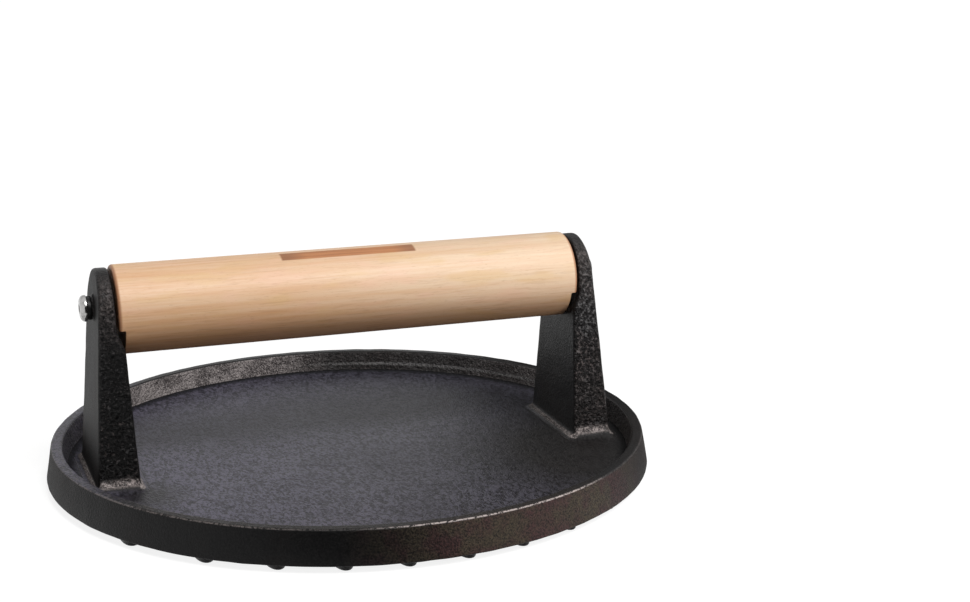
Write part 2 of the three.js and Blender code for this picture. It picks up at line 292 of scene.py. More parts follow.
# %% Floor
floor_grey, floor_glow = 0.21, 0.86
floor_material, tree = material("pale_floor")
surface(
    tree, base_color=(floor_grey, floor_grey, floor_grey, 1), roughness=0.9, specular_ior_level=0.0,
    emission_color=(1, 1, 1, 1), emission_strength=seen_rays(tree) * floor_glow,
)

disc_radius, disc_points = 6, 96
turn = np.linspace(0, 2 * np.pi, disc_points, endpoint=False)
border = np.stack([disc_radius * np.cos(turn), disc_radius * np.sin(turn), 0 * turn], axis=1)
floor_mesh = bpy.data.meshes.new("studio_floor")
floor_mesh.from_pydata(border.tolist(), [], [list(range(disc_points))])
floor_mesh.materials.append(floor_material)
floor = new_object("studio_floor", floor_mesh)
print("floor radius, m:", disc_radius)

# %% Lights
def towards(side, height):
    """The direction to a place in the sky: degrees to the right of the camera's side, degrees up."""
    side, height = np.radians(side), np.radians(height)
    return Vector((np.sin(side) * np.cos(height), -np.cos(side) * np.cos(height), np.sin(height)))


def softbox(name, kind, tint, facing, **settings):
    """A soft light that shines from the direction it is given. The settings are its power and size."""
    lamp = bpy.data.lights.new(name, kind)
    lamp.color = tint
    for setting, value in settings.items():
        setattr(lamp, setting, value)
    holder = new_object(name, lamp)
    holder.rotation_euler = facing.to_track_quat("Z", "Y").to_euler()
    return holder


key_tint, key_side = (1.0, 0.99, 0.98), towards(16, 54)
softbox("broad_key", "SUN", key_tint, key_side, energy=1.75, angle=np.radians(38))
softbox("crisp_key", "SUN", key_tint, key_side, energy=1.2, angle=np.radians(15))

fill_place, fill_target = Vector((0.13, -0.15, 0.075)), Vector((0, 0, 0.03))
fill = softbox("right_fill", "AREA", (1.0, 0.98, 0.95), fill_place - fill_target, energy=0.09, size=0.08)
fill.location = fill_place
fill.visible_camera = False
fill.visible_glossy = False

# %% Cards that reflections see
def card(name, corners, tint, strength):
    """A flat card of one glow, hidden from the camera and from everything but reflections."""
    made, tree = material(name)
    glow = node(tree, "ShaderNodeEmission", inputs={"Color": (*tint, 1), "Strength": strength})
    node(tree, "ShaderNodeOutputMaterial", inputs={"Surface": glow})
    mesh = bpy.data.meshes.new(name)
    mesh.from_pydata(np.asarray(corners).tolist(), [], [list(range(len(corners)))])
    mesh.materials.append(made)
    holder = new_object(name, mesh)
    holder.visible_camera = False
    holder.visible_diffuse = False
    holder.visible_shadow = False


def standing(start, end, height):
    """Corners of a card that stands on the floor between two points, in millimetres."""
    (x, y), (u, v) = start, end
    return np.array([(x, y, 1), (u, v, 1), (u, v, height), (x, y, height)]) * mm


def lying(*corners):
    """Corners of a card that lies on the floor, in millimetres."""
    return np.array([(x, y, 1) for x, y in corners]) * mm


cards = {
    "dark_card": (standing((-170, -200), (42, -200), 220), (1, 1, 1), 0.01),
    "dark_cloth": (lying((-170, -200), (42, -200), (10, -93), (-90, -93)), (1, 1, 1), 0.01),
    "warm_card_front": (standing((11, -122), (112, -122), 24), (1.0, 0.82, 0.76), 2.1),
    "warm_card_side": (standing((112, -122), (185, 10), 24), (1.0, 0.88, 0.87), 1.4),
    "grey_cloth_right": (lying((80, -62), (112, -100), (185, 20), (95, 20)), (1.0, 0.95, 0.94), 0.55),
    "grey_cloth_left": (lying((-95, -34), (-140, -34), (-160, 70), (-97, 50)), (1.0, 1.0, 1.0), 0.7),
    "dark_screen": (standing((82, 120), (270, 120), 110), (1, 1, 1), 0.04),
}
for name, (corners, tint, glow) in cards.items():
    card(name, corners, tint, glow)
print("cards:", list(cards))

# %% [markdown]
# Surfaces from arrays
#
# Each new piece is a stack of rings: a closed line of points at one height, then the next. Turned parts
# have round rings, the uprights have rings with rounded corners. The helper below joins neighbouring
# rings with four-sided faces and closes both ends with a fan of triangles, so every piece is a closed
# skin. It also turns the skin outwards, by measuring the volume that it holds.

# %% Closed skins
def signed_volume(points, triangles):
    """Sum of the volumes of the tetrahedra between the origin and each triangle, as a triple product."""
    a, b, c = (points[triangles[:, k]] for k in range(3))
    return np.einsum("ij,ij->i", a, np.cross(b, c)).sum() / 6


def skin(name, rings):
    """A closed mesh over rings, an array of levels by points by 3, with a fan at each end."""
    levels, count = rings.shape[:2]
    index = np.arange(levels * count).reshape(levels, count)
    after = np.roll(index, -1, axis=1)
    quads = np.stack([index[:-1], after[:-1], after[1:], index[1:]], axis=-1).reshape(-1, 4)
    first = np.full(count, levels * count)
    fans = np.concatenate([
        np.stack([first, after[0], index[0]], axis=-1),
        np.stack([first + 1, index[-1], after[-1]], axis=-1),
    ])
    points = np.concatenate([rings.reshape(-1, 3), rings[[0, -1]].mean(axis=1)])
    triangles = np.concatenate([quads[:, [0, 1, 2]], quads[:, [0, 2, 3]], fans])
    if signed_volume(points, triangles) < 0:
        quads, fans = quads[:, ::-1], fans[:, ::-1]
    mesh = bpy.data.meshes.new(name)
    mesh.from_pydata(points.tolist(), [], quads.tolist() + fans.tolist())
    mesh.shade_smooth()
    return mesh


def vertex_array(mesh, what):
    """A mesh's points or normals as an array of three columns."""
    values = np.empty(len(getattr(mesh, what)) * 3)
    getattr(mesh, what).foreach_get("co" if what == "vertices" else "vector", values)
    return values.reshape(-1, 3)


def arc(centre, radius, start, end, steps):
    """Points on a circle about a centre, from one angle to another in degrees."""
    angle = np.radians(np.linspace(start, end, steps + 1))
    return np.asarray(centre) + radius * np.stack([np.cos(angle), np.sin(angle)], axis=1)


def filled(corners, step):
    """The same broken line with more points: one about every step, and one close to each side of a corner."""
    corners = np.asarray(corners)
    beside, closest = 0.3 * mm, 0.28 * mm
    reach = np.concatenate([[0], np.cumsum(np.hypot(*np.diff(corners, axis=0).T))])
    added = np.arange(step / 2, reach[-1], step)
    near = np.concatenate([reach[1:] - beside, reach[:-1] + beside])
    added = added[np.abs(added[:, None] - reach).min(axis=1) > step / 3]
    near = near[np.abs(near[:, None] - reach).min(axis=1) > closest]
    stations = np.sort(np.concatenate([reach, added, near]))
    return np.stack([np.interp(stations, reach, corners[:, k]) for k in range(2)], axis=1)


def turned_upright(profile, count):
    """Rings about the Z axis: radius and height of the profile, times the cosine and sine of the turn."""
    turn = np.linspace(0, 2 * np.pi, count, endpoint=False)
    radius, height = profile[:, :1], profile[:, 1:]
    return np.stack([radius * np.cos(turn), radius * np.sin(turn), height + 0 * turn], axis=-1)


def turned_along(height, profile, count):
    """Rings about a line along X: the profile is radius and place along the line."""
    turn = np.linspace(0, 2 * np.pi, count, endpoint=False)
    radius, along = profile[:, :1], profile[:, 1:]
    return np.stack([along + 0 * turn, radius * np.cos(turn), height + radius * np.sin(turn)], axis=-1)


def half_round(rings):
    """The same rings turned half round about Z, for the left end of the press."""
    return rings * np.array([-1, -1, 1])


def piece(name, mesh, body, packed):
    """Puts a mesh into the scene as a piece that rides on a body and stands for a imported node."""
    made = new_object(name, mesh)
    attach(made, body)
    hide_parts(packed)
    return made


def piece_pair(part, title, rings, sharp_degrees, packed):
    """A piece at the right end and its copy at the left end, each on a body of its own."""
    made = []
    for side, turned in (("right", rings), ("left", half_round(rings))):
        mesh = skin(f"{part}_{side}", turned)
        mesh.set_sharp_from_angle(angle=np.radians(sharp_degrees))
        made.append(piece(f"{title}_{side}", mesh, f"{side}_{part}", f"{packed}_{side}"))
    return made


def coat(finish, *pieces):
    """Gives the pieces one finish in place of what they had."""
    for coated in pieces:
        coated.data.materials.clear()
        coated.data.materials.append(finish)


def combined(name, first, steps):
    """The mesh left after each step joins a mesh to the first one, or cuts one from it."""
    base = new_object(name, first)
    helpers = []
    for operation, mesh in steps:
        helper = new_object(mesh.name, mesh)
        joining = base.modifiers.new(mesh.name, "BOOLEAN")
        joining.operation = operation
        joining.solver = "MANIFOLD"
        joining.object = helper
        helpers.append(helper)
    bpy.context.view_layer.update()
    result = bpy.data.meshes.new_from_object(base.evaluated_get(bpy.context.evaluated_depsgraph_get()))
    for done in [base, *helpers]:
        bpy.data.meshes.remove(done.data)
    result.name = name
    return result


print("a quarter circle in 4 steps has points:", len(arc((0, 0), 1, 0, 90, 4)))


# %% [markdown]
# The plate
#
# The plate is cast in sand, so its wall leans for the pattern to lift out, and no edge is sharp. Its
# section is one line from the middle of the underside, round the rim and back to the middle of the
# floor. That line is turned about Z.

# %% Plate
wall_lean = np.degrees(np.arctan2(plate_radius - rim_outer, rim_top - underside))
inner_lean_degrees = np.degrees(np.arctan2(rim_inner - floor_radius, rim_top - floor_top))
foot_edge, rim_edge, floor_fillet = 0.4 * mm, 0.8 * mm, 0.9 * mm
plate_heart = 1.5 * mm
inner_foot = (floor_radius - floor_fillet, floor_top + floor_fillet)
plate_line = np.concatenate([
    [[plate_heart, underside]],
    arc((plate_radius - foot_edge, underside + foot_edge), foot_edge, -90, wall_lean, 5),
    arc((rim_outer - rim_edge, rim_top - rim_edge), rim_edge, wall_lean, 90, 5),
    arc((rim_inner + rim_edge, rim_top - rim_edge), rim_edge, 90, 180 - inner_lean_degrees, 5),
    arc(inner_foot, floor_fillet, -inner_lean_degrees, -90, 7),
    [[plate_heart, floor_top]],
])
plate_mesh = skin("plate", turned_upright(filled(plate_line, 2.2 * mm), 288))
print("plate faces:", len(plate_mesh.polygons))

# %% [markdown]
# The ribs
#
# Ten straight ribs under the plate press the marks into the meat. Each is a long bar that widens towards
# its root, and its ends are drawn out to a nose 2.4 times as long as it is half wide. The outermost ribs
# would reach over the edge of the plate, so their corners are drawn in to a round field.

# %% Ribs
rib_pitch, rib_tip, rib_root, rib_end_radius = 16.3 * mm, 5.2 * mm, 7 * mm, 2.5 * mm
rib_nose = 2.4


def rib_rings(x):
    """Rings of a rib: for each height a bar whose half width grows in proportion to the height.

    A corner of the bar is a quarter of an ellipse: the end radius times the cosine of the turn across,
    and the end radius times the nose times the sine along. A point past the round field is drawn in.
    """
    tip_edge, quarter = 0.35 * mm, 7
    lower = arc((0, tip_edge), tip_edge, -90, -15, 3)
    heights = np.concatenate([lower[:, 1], [0.8 * mm, 1.6 * mm, underside + 1 * mm]])[:, None]
    drawn_in = np.concatenate([tip_edge - lower[:, 0], [0, 0, 0]])[:, None]
    share = heights / underside
    widening = (rib_root - rib_tip) / 2 * share - drawn_in
    radius = rib_end_radius + widening
    corner_x = rib_tip / 2 + widening - radius
    tip_end = np.sqrt((plate_radius - 2.8 * mm) ** 2 - x ** 2)
    corner_y = tip_end + 0.8 * mm * share - drawn_in - radius * rib_nose
    turn = (np.radians(np.linspace(0, 90, quarter)) + np.pi / 2 * np.arange(4)[:, None]).reshape(-1)
    across = np.repeat([1, -1, -1, 1], quarter) * corner_x + radius * np.cos(turn)
    along = np.repeat([1, 1, -1, -1], quarter) * corner_y + radius * rib_nose * np.sin(turn)
    half = 2 * quarter
    long_side = along[:, half - 1:half] * np.linspace(1, -1, 42)[1:-1]
    left = np.stack([across[:, half - 1:half] + 0 * long_side, long_side], axis=-1)
    right = np.stack([across[:, :1] + 0 * long_side, -long_side], axis=-1)
    outline = np.stack([across, along], axis=-1)
    outline = np.concatenate([outline[:, :half], left, outline[:, half:], right], axis=1)
    outline[..., 0] += x
    limit = (plate_radius - 0.9 * mm - 0.8 * mm * (1 - share))[..., None]
    distance = np.linalg.norm(outline, axis=-1, keepdims=True)
    outline = outline * np.minimum(1, limit / distance)
    heights = np.broadcast_to(heights[:, :, None], (*outline.shape[:2], 1))
    return np.concatenate([outline, heights], axis=-1)


def gathered(name, meshes):
    """Several separate closed meshes as one mesh, their points and faces numbered on."""
    points, faces, start = [], [], 0
    for mesh in meshes:
        points.append(vertex_array(mesh, "vertices"))
        faces += [[start + corner for corner in face.vertices] for face in mesh.polygons]
        start += len(mesh.vertices)
        bpy.data.meshes.remove(mesh)
    whole = bpy.data.meshes.new(name)
    whole.from_pydata(np.concatenate(points).tolist(), [], faces)
    return whole


rib_count = 10
rib_places = (np.arange(rib_count) - (rib_count - 1) / 2) * rib_pitch
ribs_mesh = gathered("ribs", [skin("rib", rib_rings(x)) for x in rib_places])
print("ribs:", len(rib_places), "faces:", len(ribs_mesh.polygons))

# %% [markdown]
# The uprights
#
# Each upright is a drafted post: 18 mm either side of the middle at its foot, running in straight lines
# to a round top about the handle's axis. Its outer face leans in, its inner face leans out to a thin tab,
# and at its foot a fillet spreads into the floor. The ring at a height has four sides, and each point
# steps in near the outline, which rounds the vertical edges.

# %% Uprights
side_angle = (
    np.arccos(tab_radius / np.hypot(foot_half_width, axis_height - floor_top))
    - np.arctan2(axis_height - floor_top, foot_half_width)
)


def inset(depth, radius):
    """How far a rounded edge has drawn in at a depth from the outline: r - sqrt(r^2 - (r - depth)^2)."""
    left = radius - np.clip(depth, 0, radius)
    return radius - np.sqrt(np.maximum(radius ** 2 - left ** 2, 0))


def upright_rings():
    """Rings of the right upright, one per height, each over its outer face, sides and inner face.

    Up to the tangent point the half width falls in a straight line, and above it it follows the round
    top: the square root of the tab's radius squared less the rise squared. Both faces lean in proportion
    to the height, and the fillets at the foot add to the half width and to the faces.
    """
    bend = 1 - np.cos(np.radians(np.linspace(8, 90, 12)))
    fillet = floor_top + np.sort(np.concatenate([face_fillet * bend[:-2], side_fillet * bend]))
    straight = np.linspace(fillet[-1], shoulder_bottom, 62)[1:]
    shoulder = np.linspace(shoulder_bottom, shoulder_top, 9)[1:]
    tangent = axis_height + tab_radius * np.sin(side_angle)
    tab = np.linspace(shoulder_top, tangent, 8)[1:]
    round_top = axis_height + tab_radius * np.sin(np.linspace(side_angle, np.radians(88.6), 26)[1:])
    z = np.concatenate([[floor_top - 1.5 * mm], fillet, straight, shoulder, tab, round_top])[:, None]

    face_spread, side_spread = (inset(z - floor_top, fillet) for fillet in (face_fillet, side_fillet))
    rise = z - axis_height
    on_round = rise > tab_radius * np.sin(side_angle)
    straight_half = (tab_radius - rise * np.sin(side_angle)) / np.cos(side_angle)
    round_half = np.sqrt(np.maximum(tab_radius ** 2 - rise ** 2, 0))
    half_width = np.where(on_round, round_half, straight_half) + side_spread

    shares = np.sin(np.radians(np.linspace(-90, 90, 35)))
    y = shares * half_width
    straight_depth = tab_radius + side_spread - np.abs(y) * np.cos(side_angle) - rise * np.sin(side_angle)
    depth = np.where(on_round, tab_radius - np.hypot(y, rise), straight_depth)
    edge_round = 0.9 * mm
    face_radius, side_radius = edge_round + face_spread, edge_round + side_spread
    drawn = inset(depth, side_radius) * face_radius / side_radius
    outer = foot_outer - outer_lean * (z - floor_top) + face_spread
    plain_inner = foot_inner + inner_lean * (np.minimum(z, shoulder_bottom) - floor_top)
    share_up = np.clip((z - shoulder_bottom) / (shoulder_top - shoulder_bottom), 0, 1)
    inner = plain_inner + share_up * (tab_inner - plain_inner) - face_spread
    outer_x, inner_x = outer - drawn, inner + drawn

    across = np.linspace(0, 1, 21)[1:-1]
    side_x = outer_x[:, -1:] + (inner_x[:, -1:] - outer_x[:, -1:]) * across
    side_y = half_width + 0 * across
    xs = np.concatenate([outer_x, side_x, inner_x[:, ::-1], side_x[:, ::-1]], axis=1)
    ys = np.concatenate([y, side_y, y[:, ::-1], -side_y], axis=1)
    return np.stack([xs, ys, z + 0 * xs], axis=-1)


def both_ends(name, rings):
    """One mesh with a part at the right end and its copy at the left end."""
    return gathered(name, [skin(name, ends) for ends in (rings, half_round(rings))])


uprights_mesh = both_ends("uprights", upright_rings())
print("upright faces:", len(uprights_mesh.polygons))

# %% [markdown]
# Screw seats and holes
#
# A low round seat on each leaning face gives the spring washer a square landing. The holes go through
# the seat and the tab.

# %% Seats and holes
seat_radius, seat_spread, seat_edge, hole_radius = 3.5 * mm, 0.5 * mm, 0.12 * mm, 2.4 * mm
seat_root = tab_inner + 2.5 * mm
seat_foot = foot_outer - outer_lean * (screw_height - floor_top)
seat_line = np.concatenate([
    [[seat_spread, seat_root], [seat_radius + seat_spread, seat_root]],
    [[seat_radius + seat_spread, seat_foot - seat_spread]],
    arc((seat_radius + seat_spread, seat_foot + seat_spread), seat_spread, -90, -150, 4),
    arc((seat_radius - seat_edge, seat_face - seat_edge), seat_edge, 0, 90, 3),
    [[seat_spread, seat_face]],
])
hole_line = np.array([
    [hole_radius, tab_inner - 3 * mm],
    [hole_radius, seat_face + 3 * mm],
])
seats_mesh = both_ends("seats", turned_along(screw_height, seat_line, 64))
holes_mesh = both_ends("holes", turned_along(screw_height, hole_line, 64))
print("seat faces:", len(seats_mesh.polygons), "hole faces:", len(holes_mesh.polygons))

# %% [markdown]
# The casting's skin
#
# Joined, the parts are still too perfect: sand casting leaves low lumps a few millimetres wide. The
# function below is a smooth lumpy field, a sum of sine waves in many directions with fixed seeds. Later
# each point of the casting moves in along its normal by that field, least on the ground rib tips.

# %% Join the casting
def lumps(points, size, seed):
    """Smooth noise between 0 and 1: the mean of 24 sine waves, each with its own direction and phase."""
    chance = np.random.default_rng(seed)
    waves = 24
    direction = chance.normal(size=(waves, 3))
    direction /= np.linalg.norm(direction, axis=1, keepdims=True)
    length = size * chance.uniform(0.75, 1.6, waves)
    phase = chance.uniform(0, 2 * np.pi, waves)
    heights = np.sin(points @ direction.T * (2 * np.pi / length) + phase)
    return np.clip(0.5 + heights.mean(axis=1) * 2.2, 0, 1)


casting_mesh = combined("casting", plate_mesh, [
    ("UNION", ribs_mesh), ("UNION", uprights_mesh), ("UNION", seats_mesh), ("DIFFERENCE", holes_mesh),
])
points = vertex_array(casting_mesh, "vertices")
normals = vertex_array(casting_mesh, "vertex_normals")
print("casting points:", len(points))

# %% [markdown]
# Where the iron differs
#
# The drafted sides have coarse bare grains, with light specks painted on them as glints. Other masks paint
# light and shade: a pale inner wall at the back left, the floor's colour on the land and wall at the left,
# a light line along the rim that is faint wear all round and a painted highlight at the front, painted
# highlights along the fillets of the feet and the foot of the inner wall, painted shade in the crease round
# the floor, near the feet and on the left upright's sides, and a brown painted warm reflection on the outer
# wall at the front right. Each of these is a mask: a number from 0 to 1 for each point of the casting,
# worked out from the point's place and normal. The masks are stored in the mesh, and the finish reads them.

# %% Zones of the casting
def fade(values, zero, one):
    """Rises in proportion from 0 at one number to 1 at the other, and is held there past them."""
    return np.clip((values - zero) / (one - zero), 0, 1)


def round_bearing(middle):
    """How many degrees each point lies from a bearing, which is 0 at the front and 90 at the right."""
    bearing = np.degrees(np.arctan2(points[:, 0], -points[:, 1]))
    return np.abs((bearing - middle + 180) % 360 - 180)


x, y, z = points.T
sideways_turned, forward_turned, up_turned = np.abs(normals[:, 0]), np.abs(normals[:, 1]), normals[:, 2]
from_middle = np.hypot(x, y)
above_floor = z - floor_top
right_side = fade(x, -5 * mm, 5 * mm)
near_top = fade(z, axis_height - 10 * mm, axis_height + 6 * mm)

on_upright = (above_floor > 0.02 * mm) & (from_middle < floor_radius - 1.7 * mm)
on_upright |= z > rim_top + 1 * mm
side_face = fade(forward_turned, 0.375, 1) * (above_floor > 2 * mm) * on_upright
left_face = fade(-normals[:, 0], 0.7, 0.95) * on_upright * (x < 0)
# The fillet and face bands mark where a highlight is painted along the slope of the fillets at the feet.
fillet_band = fade(np.abs(up_turned - 0.47 - 0.3 * sideways_turned), 0.26, 0.12)
fillet_band *= on_upright * (above_floor < side_fillet)
face_band = fillet_band * fade(sideways_turned, 0.4, 0.7)

inner_wall = (above_floor > 0.4 * mm) * (np.abs(from_middle - floor_radius) < 1 * mm) * (up_turned < 0.7)
outer_wall = (from_middle > rim_outer - 0.3 * mm) * (np.abs(up_turned) < 0.6)
land = (up_turned > 0.8) * (z > rim_top - 0.6 * mm) * ~on_upright
rim_corner = (z > rim_top - 1 * mm) * (from_middle > rim_outer - 1 * mm)
print("points on the uprights:", on_upright.sum(), "on the inner wall:", inner_wall.sum())

# %% Masks of wear, grain, painted glints and painted light
# The rim's light line is faint all round, as wear, and strong at the front, as a painted highlight. The
# fillet bands add painted highlights, and the tops of the uprights add wear.
rim_line = fade(np.abs(up_turned - 0.76), 0.22, 0.08) * rim_corner
rim_line *= 0.06 + 0.94 * fade(round_bearing(12), 26, 15) + 0.2 * fade(round_bearing(-50), 32, 18)
wear_and_highlights = rim_line + 0.5 * fillet_band + 0.5 * face_band + 0.14 * near_top * side_face

# Painted light: the inner wall is painted pale at the back left and at the right end, where light falls on
# it. A tenth of bare grain lies all round the wall, and the fillet bands add painted highlights.
lit_back_left = fade(round_bearing(-158), 32, 20)
shown_left, shown_right = fade(round_bearing(-112), 30, 18), fade(round_bearing(95), 48, 26)
bare_and_lit_mask = inner_wall * (0.10 + 0.90 * lit_back_left + 0.25 * shown_right) + 0.8 * fillet_band + 0.4 * face_band
# Light specks painted on the grains stand for glints: on the side faces, more on the right upright and near
# the tops, where the light falls, and fewer towards the foot; also on the inner wall and on the land at the
# left.
up_the_side = 0.5 + 0.5 * fade(z, floor_top + 4 * mm, axis_height - 14 * mm)
glinting_grains = side_face * up_the_side * (0.14 + 0.86 * np.maximum(right_side, near_top))
glinting_grains += (0.35 + 0.15 * shown_right) * inner_wall
glinting_grains += 0.45 * land * fade(round_bearing(-80), 60, 30)
print("mean wear:", round(wear_and_highlights.mean(), 3), "mean of the bare places:", round(bare_and_lit_mask.mean(), 3))

# %% Masks of oil, painted light and painted shade
# The floor's oiled colour is also painted on the land and the inner wall at the left, as painted light.
oiled_and_lit = fade(up_turned, 0.72, 0.88) * (above_floor < 1.2 * mm) * (from_middle < floor_radius)
oiled_and_lit += 0.9 * land * fade(round_bearing(-100), 45, 20) + 0.8 * inner_wall * shown_left
# Painted shade: a ring of the floor at the foot of the inner wall is painted near black, where shade falls.
crease_shade = fade(np.abs(floor_radius - 0.3 * mm - from_middle), 2.8 * mm, 0.8 * mm)
crease_shade *= np.abs(above_floor) < 0.4 * mm
# Painted shade on the floor in front of the feet of both uprights.
shade_by_right_foot = fade(np.hypot(x - 71 * mm, y + 27 * mm), 52 * mm, 24 * mm)
shade_by_left_foot = 0.8 * fade(np.hypot(x + 66 * mm, y + 24 * mm), 15 * mm, 4 * mm)
masks = {
    "grit": np.clip(side_face + 0.7 * inner_wall + fillet_band, 0, 1),
    "bare_and_lit_mask": np.clip(bare_and_lit_mask, 0, 1),
    "glinting_grains": glinting_grains,
    "crease_shade": crease_shade,
    "floor": oiled_and_lit,
    # Painted shade on the side faces of the left upright, below its top.
    "shaded": side_face * (1 - right_side) * (1 - near_top),
    "under": fade(-up_turned, 0.5, 0.9) * (z < underside + 0.3 * mm),
    "shade_by_foot": np.maximum(shade_by_right_foot, shade_by_left_foot),
    "wear_and_highlights": np.clip(wear_and_highlights, 0, 1),
    # A painted warm reflection on the outer wall at the front right.
    "warm_reflection": outer_wall * fade(round_bearing(19), 36, 15),
    # A painted highlight line along the foot of the inner wall at the back right.
    "highlight_line": inner_wall * fade(round_bearing(130), 48, 30),
    "dulled": np.maximum(0.7 * left_face, outer_wall * fade(round_bearing(-20), 46, 76)),
}
for name, values in masks.items():
    casting_mesh.attributes.new(name, "FLOAT", "POINT").data.foreach_set("value", values.astype(np.float32))
print("mean of each mask:", {name: round(float(values.mean()), 3) for name, values in masks.items()})

# %% Lumps of the sand
broad_lumps, small_lumps = lumps(points, 7 * mm, 3), lumps(points, 1.7 * mm, 5)
depth = (0.09 * broad_lumps + small_lumps * (0.01 + 0.15 * side_face)) * mm
depth *= np.clip((z - 0.15 * mm) / (0.8 * mm), 0, 1)
casting_mesh.vertices.foreach_set("co", (points - normals * depth[:, None]).reshape(-1))
casting_mesh.update()
casting_mesh.shade_smooth()
casting_mesh.set_sharp_from_angle(angle=np.radians(50))
casting = piece("iron_casting", casting_mesh, "press", "press_casting")
triangles = sum(len(face.vertices) - 2 for face in casting_mesh.polygons)
print("deepest lump, mm:", round(depth.max() / mm, 3), "casting triangles:", triangles)

# %% [markdown]
# Cast iron
#
# Seasoned iron is nearly black and only half dull: oil baked into a sandy skin. The floor has a fine
# blue-grey mottle of oil, painted lighter towards the left as painted light, the drafted sides have coarser
# grains with light specks painted on them as glints, and where a mask says so the grains are bare. Masks
# also paint light, highlights, shade and a warm reflection onto the iron. Large soft patches make the iron
# browner or bluer and a little more or less shiny. Underneath, the grooves keep a grey speckle, and the
# rib tips were ground after casting, so they are bare grey metal with dark pits left in them.

# %% Iron grain
iron, tree = material("seasoned_cast_iron")
place = object_point(tree)
here = {name: node(tree, "ShaderNodeAttribute", {"attribute_name": name}, output="Fac") for name in masks}
sideways, height = coordinate(place, "X"), coordinate(place, "Z")

fine = noise(place, 0.5 * mm, detail=3, roughness=0.65)
sand = noise(place, 1.0 * mm, detail=3, roughness=0.6).ramp(0.34, 0.66)
grains = noise(place, 0.9 * mm, detail=3, roughness=0.6).ramp(0.47, 0.68)
mottle = noise(object_point(tree, (1, 0.42, 1)), 0.8 * mm, roughness=0.6, distortion=0.7)
mottle = mottle.ramp(0.36, 0.64)
patches = noise(place, 34 * mm, detail=3, roughness=0.55)
stains = noise(place, 9 * mm, detail=3, roughness=0.6).ramp(0.38, 0.62)
pits = noise(place, 0.9 * mm).ramp(0.62, 0.7)
coarse = noise(place, 0.75 * mm, detail=3, roughness=0.7).ramp(0.38, 0.62)
powder = noise(place, 0.38 * mm, roughness=0.6)
ground = (0.1 * mm - height).ramp(-0.25 * mm, 0)
print("masks that the iron reads:", len(here))

# %% Seasoned skin and oiled floor, with painted light, shade and a warm reflection
baked_black, baked_grey = (0.0012, 0.0012, 0.0014, 1), (0.0064, 0.0062, 0.0064, 1)
warm_black = (0.0125, 0.0085, 0.0072, 1)
# Reds and browns of the painted warm reflection on the outer wall.
reflection_red, reflection_brown = (0.050, 0.024, 0.024, 1), (0.050, 0.040, 0.026, 1)
oil_dark_right, oil_dark_left = (0.0055, 0.005, 0.0075, 1), (0.0095, 0.009, 0.015, 1)
oil_pale_right, oil_pale_left = (0.056, 0.054, 0.070, 1), (0.088, 0.082, 0.118, 1)
oil_patch, crease_black = (0.016, 0.015, 0.018, 1), (0.004, 0.004, 0.0045, 1)
# Colours of the painted shade near the feet.
foot_shade_dark, foot_shade_pale = (0.004, 0.0035, 0.0035, 1), (0.015, 0.014, 0.014, 1)

seasoned = layered(
    mixed(fine.ramp(0.35, 0.7), baked_black, baked_grey),
    (patches.ramp(0.42, 0.66) * 0.3, warm_black),
    (here["warm_reflection"] * fine.ramp(0.3, 0.7), mixed(stains, reflection_red, reflection_brown)),
)
# Painted light: the floor's oil colours are painted lighter and bluer towards the left.
lit_towards_left = (sideways * -1).ramp(-40 * mm, 80 * mm)
oil_dark = mixed(lit_towards_left, oil_dark_right, oil_dark_left)
oil_pale = mixed(lit_towards_left, oil_pale_right, oil_pale_left)
oiled = layered(
    mixed(mottle, oil_dark, oil_pale),
    (patches.ramp(0.44, 0.62) * 0.22, oil_patch),
    # Painted shade near the feet.
    (here["shade_by_foot"], mixed(mottle, foot_shade_dark, foot_shade_pale)),
)
# Painted shade: the crease round the floor is painted near black.
skin_colour = layered(seasoned, (here["floor"], oiled), (here["crease_shade"] * 0.85, crease_black))
print("iron nodes so far:", len(tree.nodes))

# %% Bare grains, painted glints, shade and highlights, and the underside
# Near black for the painted shade on the left upright's sides.
side_black = (0.0006, 0.0006, 0.0007, 1)
# Light greys for the painted highlight line on the inner wall, and for wear and painted highlights.
highlight_line_grey, wear_and_highlight_grey = (0.20, 0.195, 0.195, 1), (0.46, 0.40, 0.385, 1)
# A pale speckled grey, painted on bare grains and as painted light and highlights.
bare_and_lit_dark, bare_and_lit_pale = (0.044, 0.038, 0.038, 1), (0.37, 0.335, 0.33, 1)
# Colours of the light specks painted on the grains as glints.
grain_glint_red, grain_glint_grey = (0.110, 0.092, 0.090, 1), (0.120, 0.117, 0.120, 1)
groove_dark, groove_pale = (0.010, 0.010, 0.011, 1), (0.095, 0.094, 0.097, 1)
tip_dark, tip_pale = (0.09, 0.09, 0.092, 1), (0.38, 0.38, 0.384, 1)
line_height = floor_top + 2.3 * mm

bare_and_lit = mixed((powder * 0.75 + fine * 0.35 + stains * 0.10).ramp(0.47, 0.77), bare_and_lit_dark, bare_and_lit_pale)
grain_glint_colour = mixed(stains, grain_glint_red, grain_glint_grey)
gaps = here["grit"].ramp(0.72, 1) * (1 - sand) * 0.7
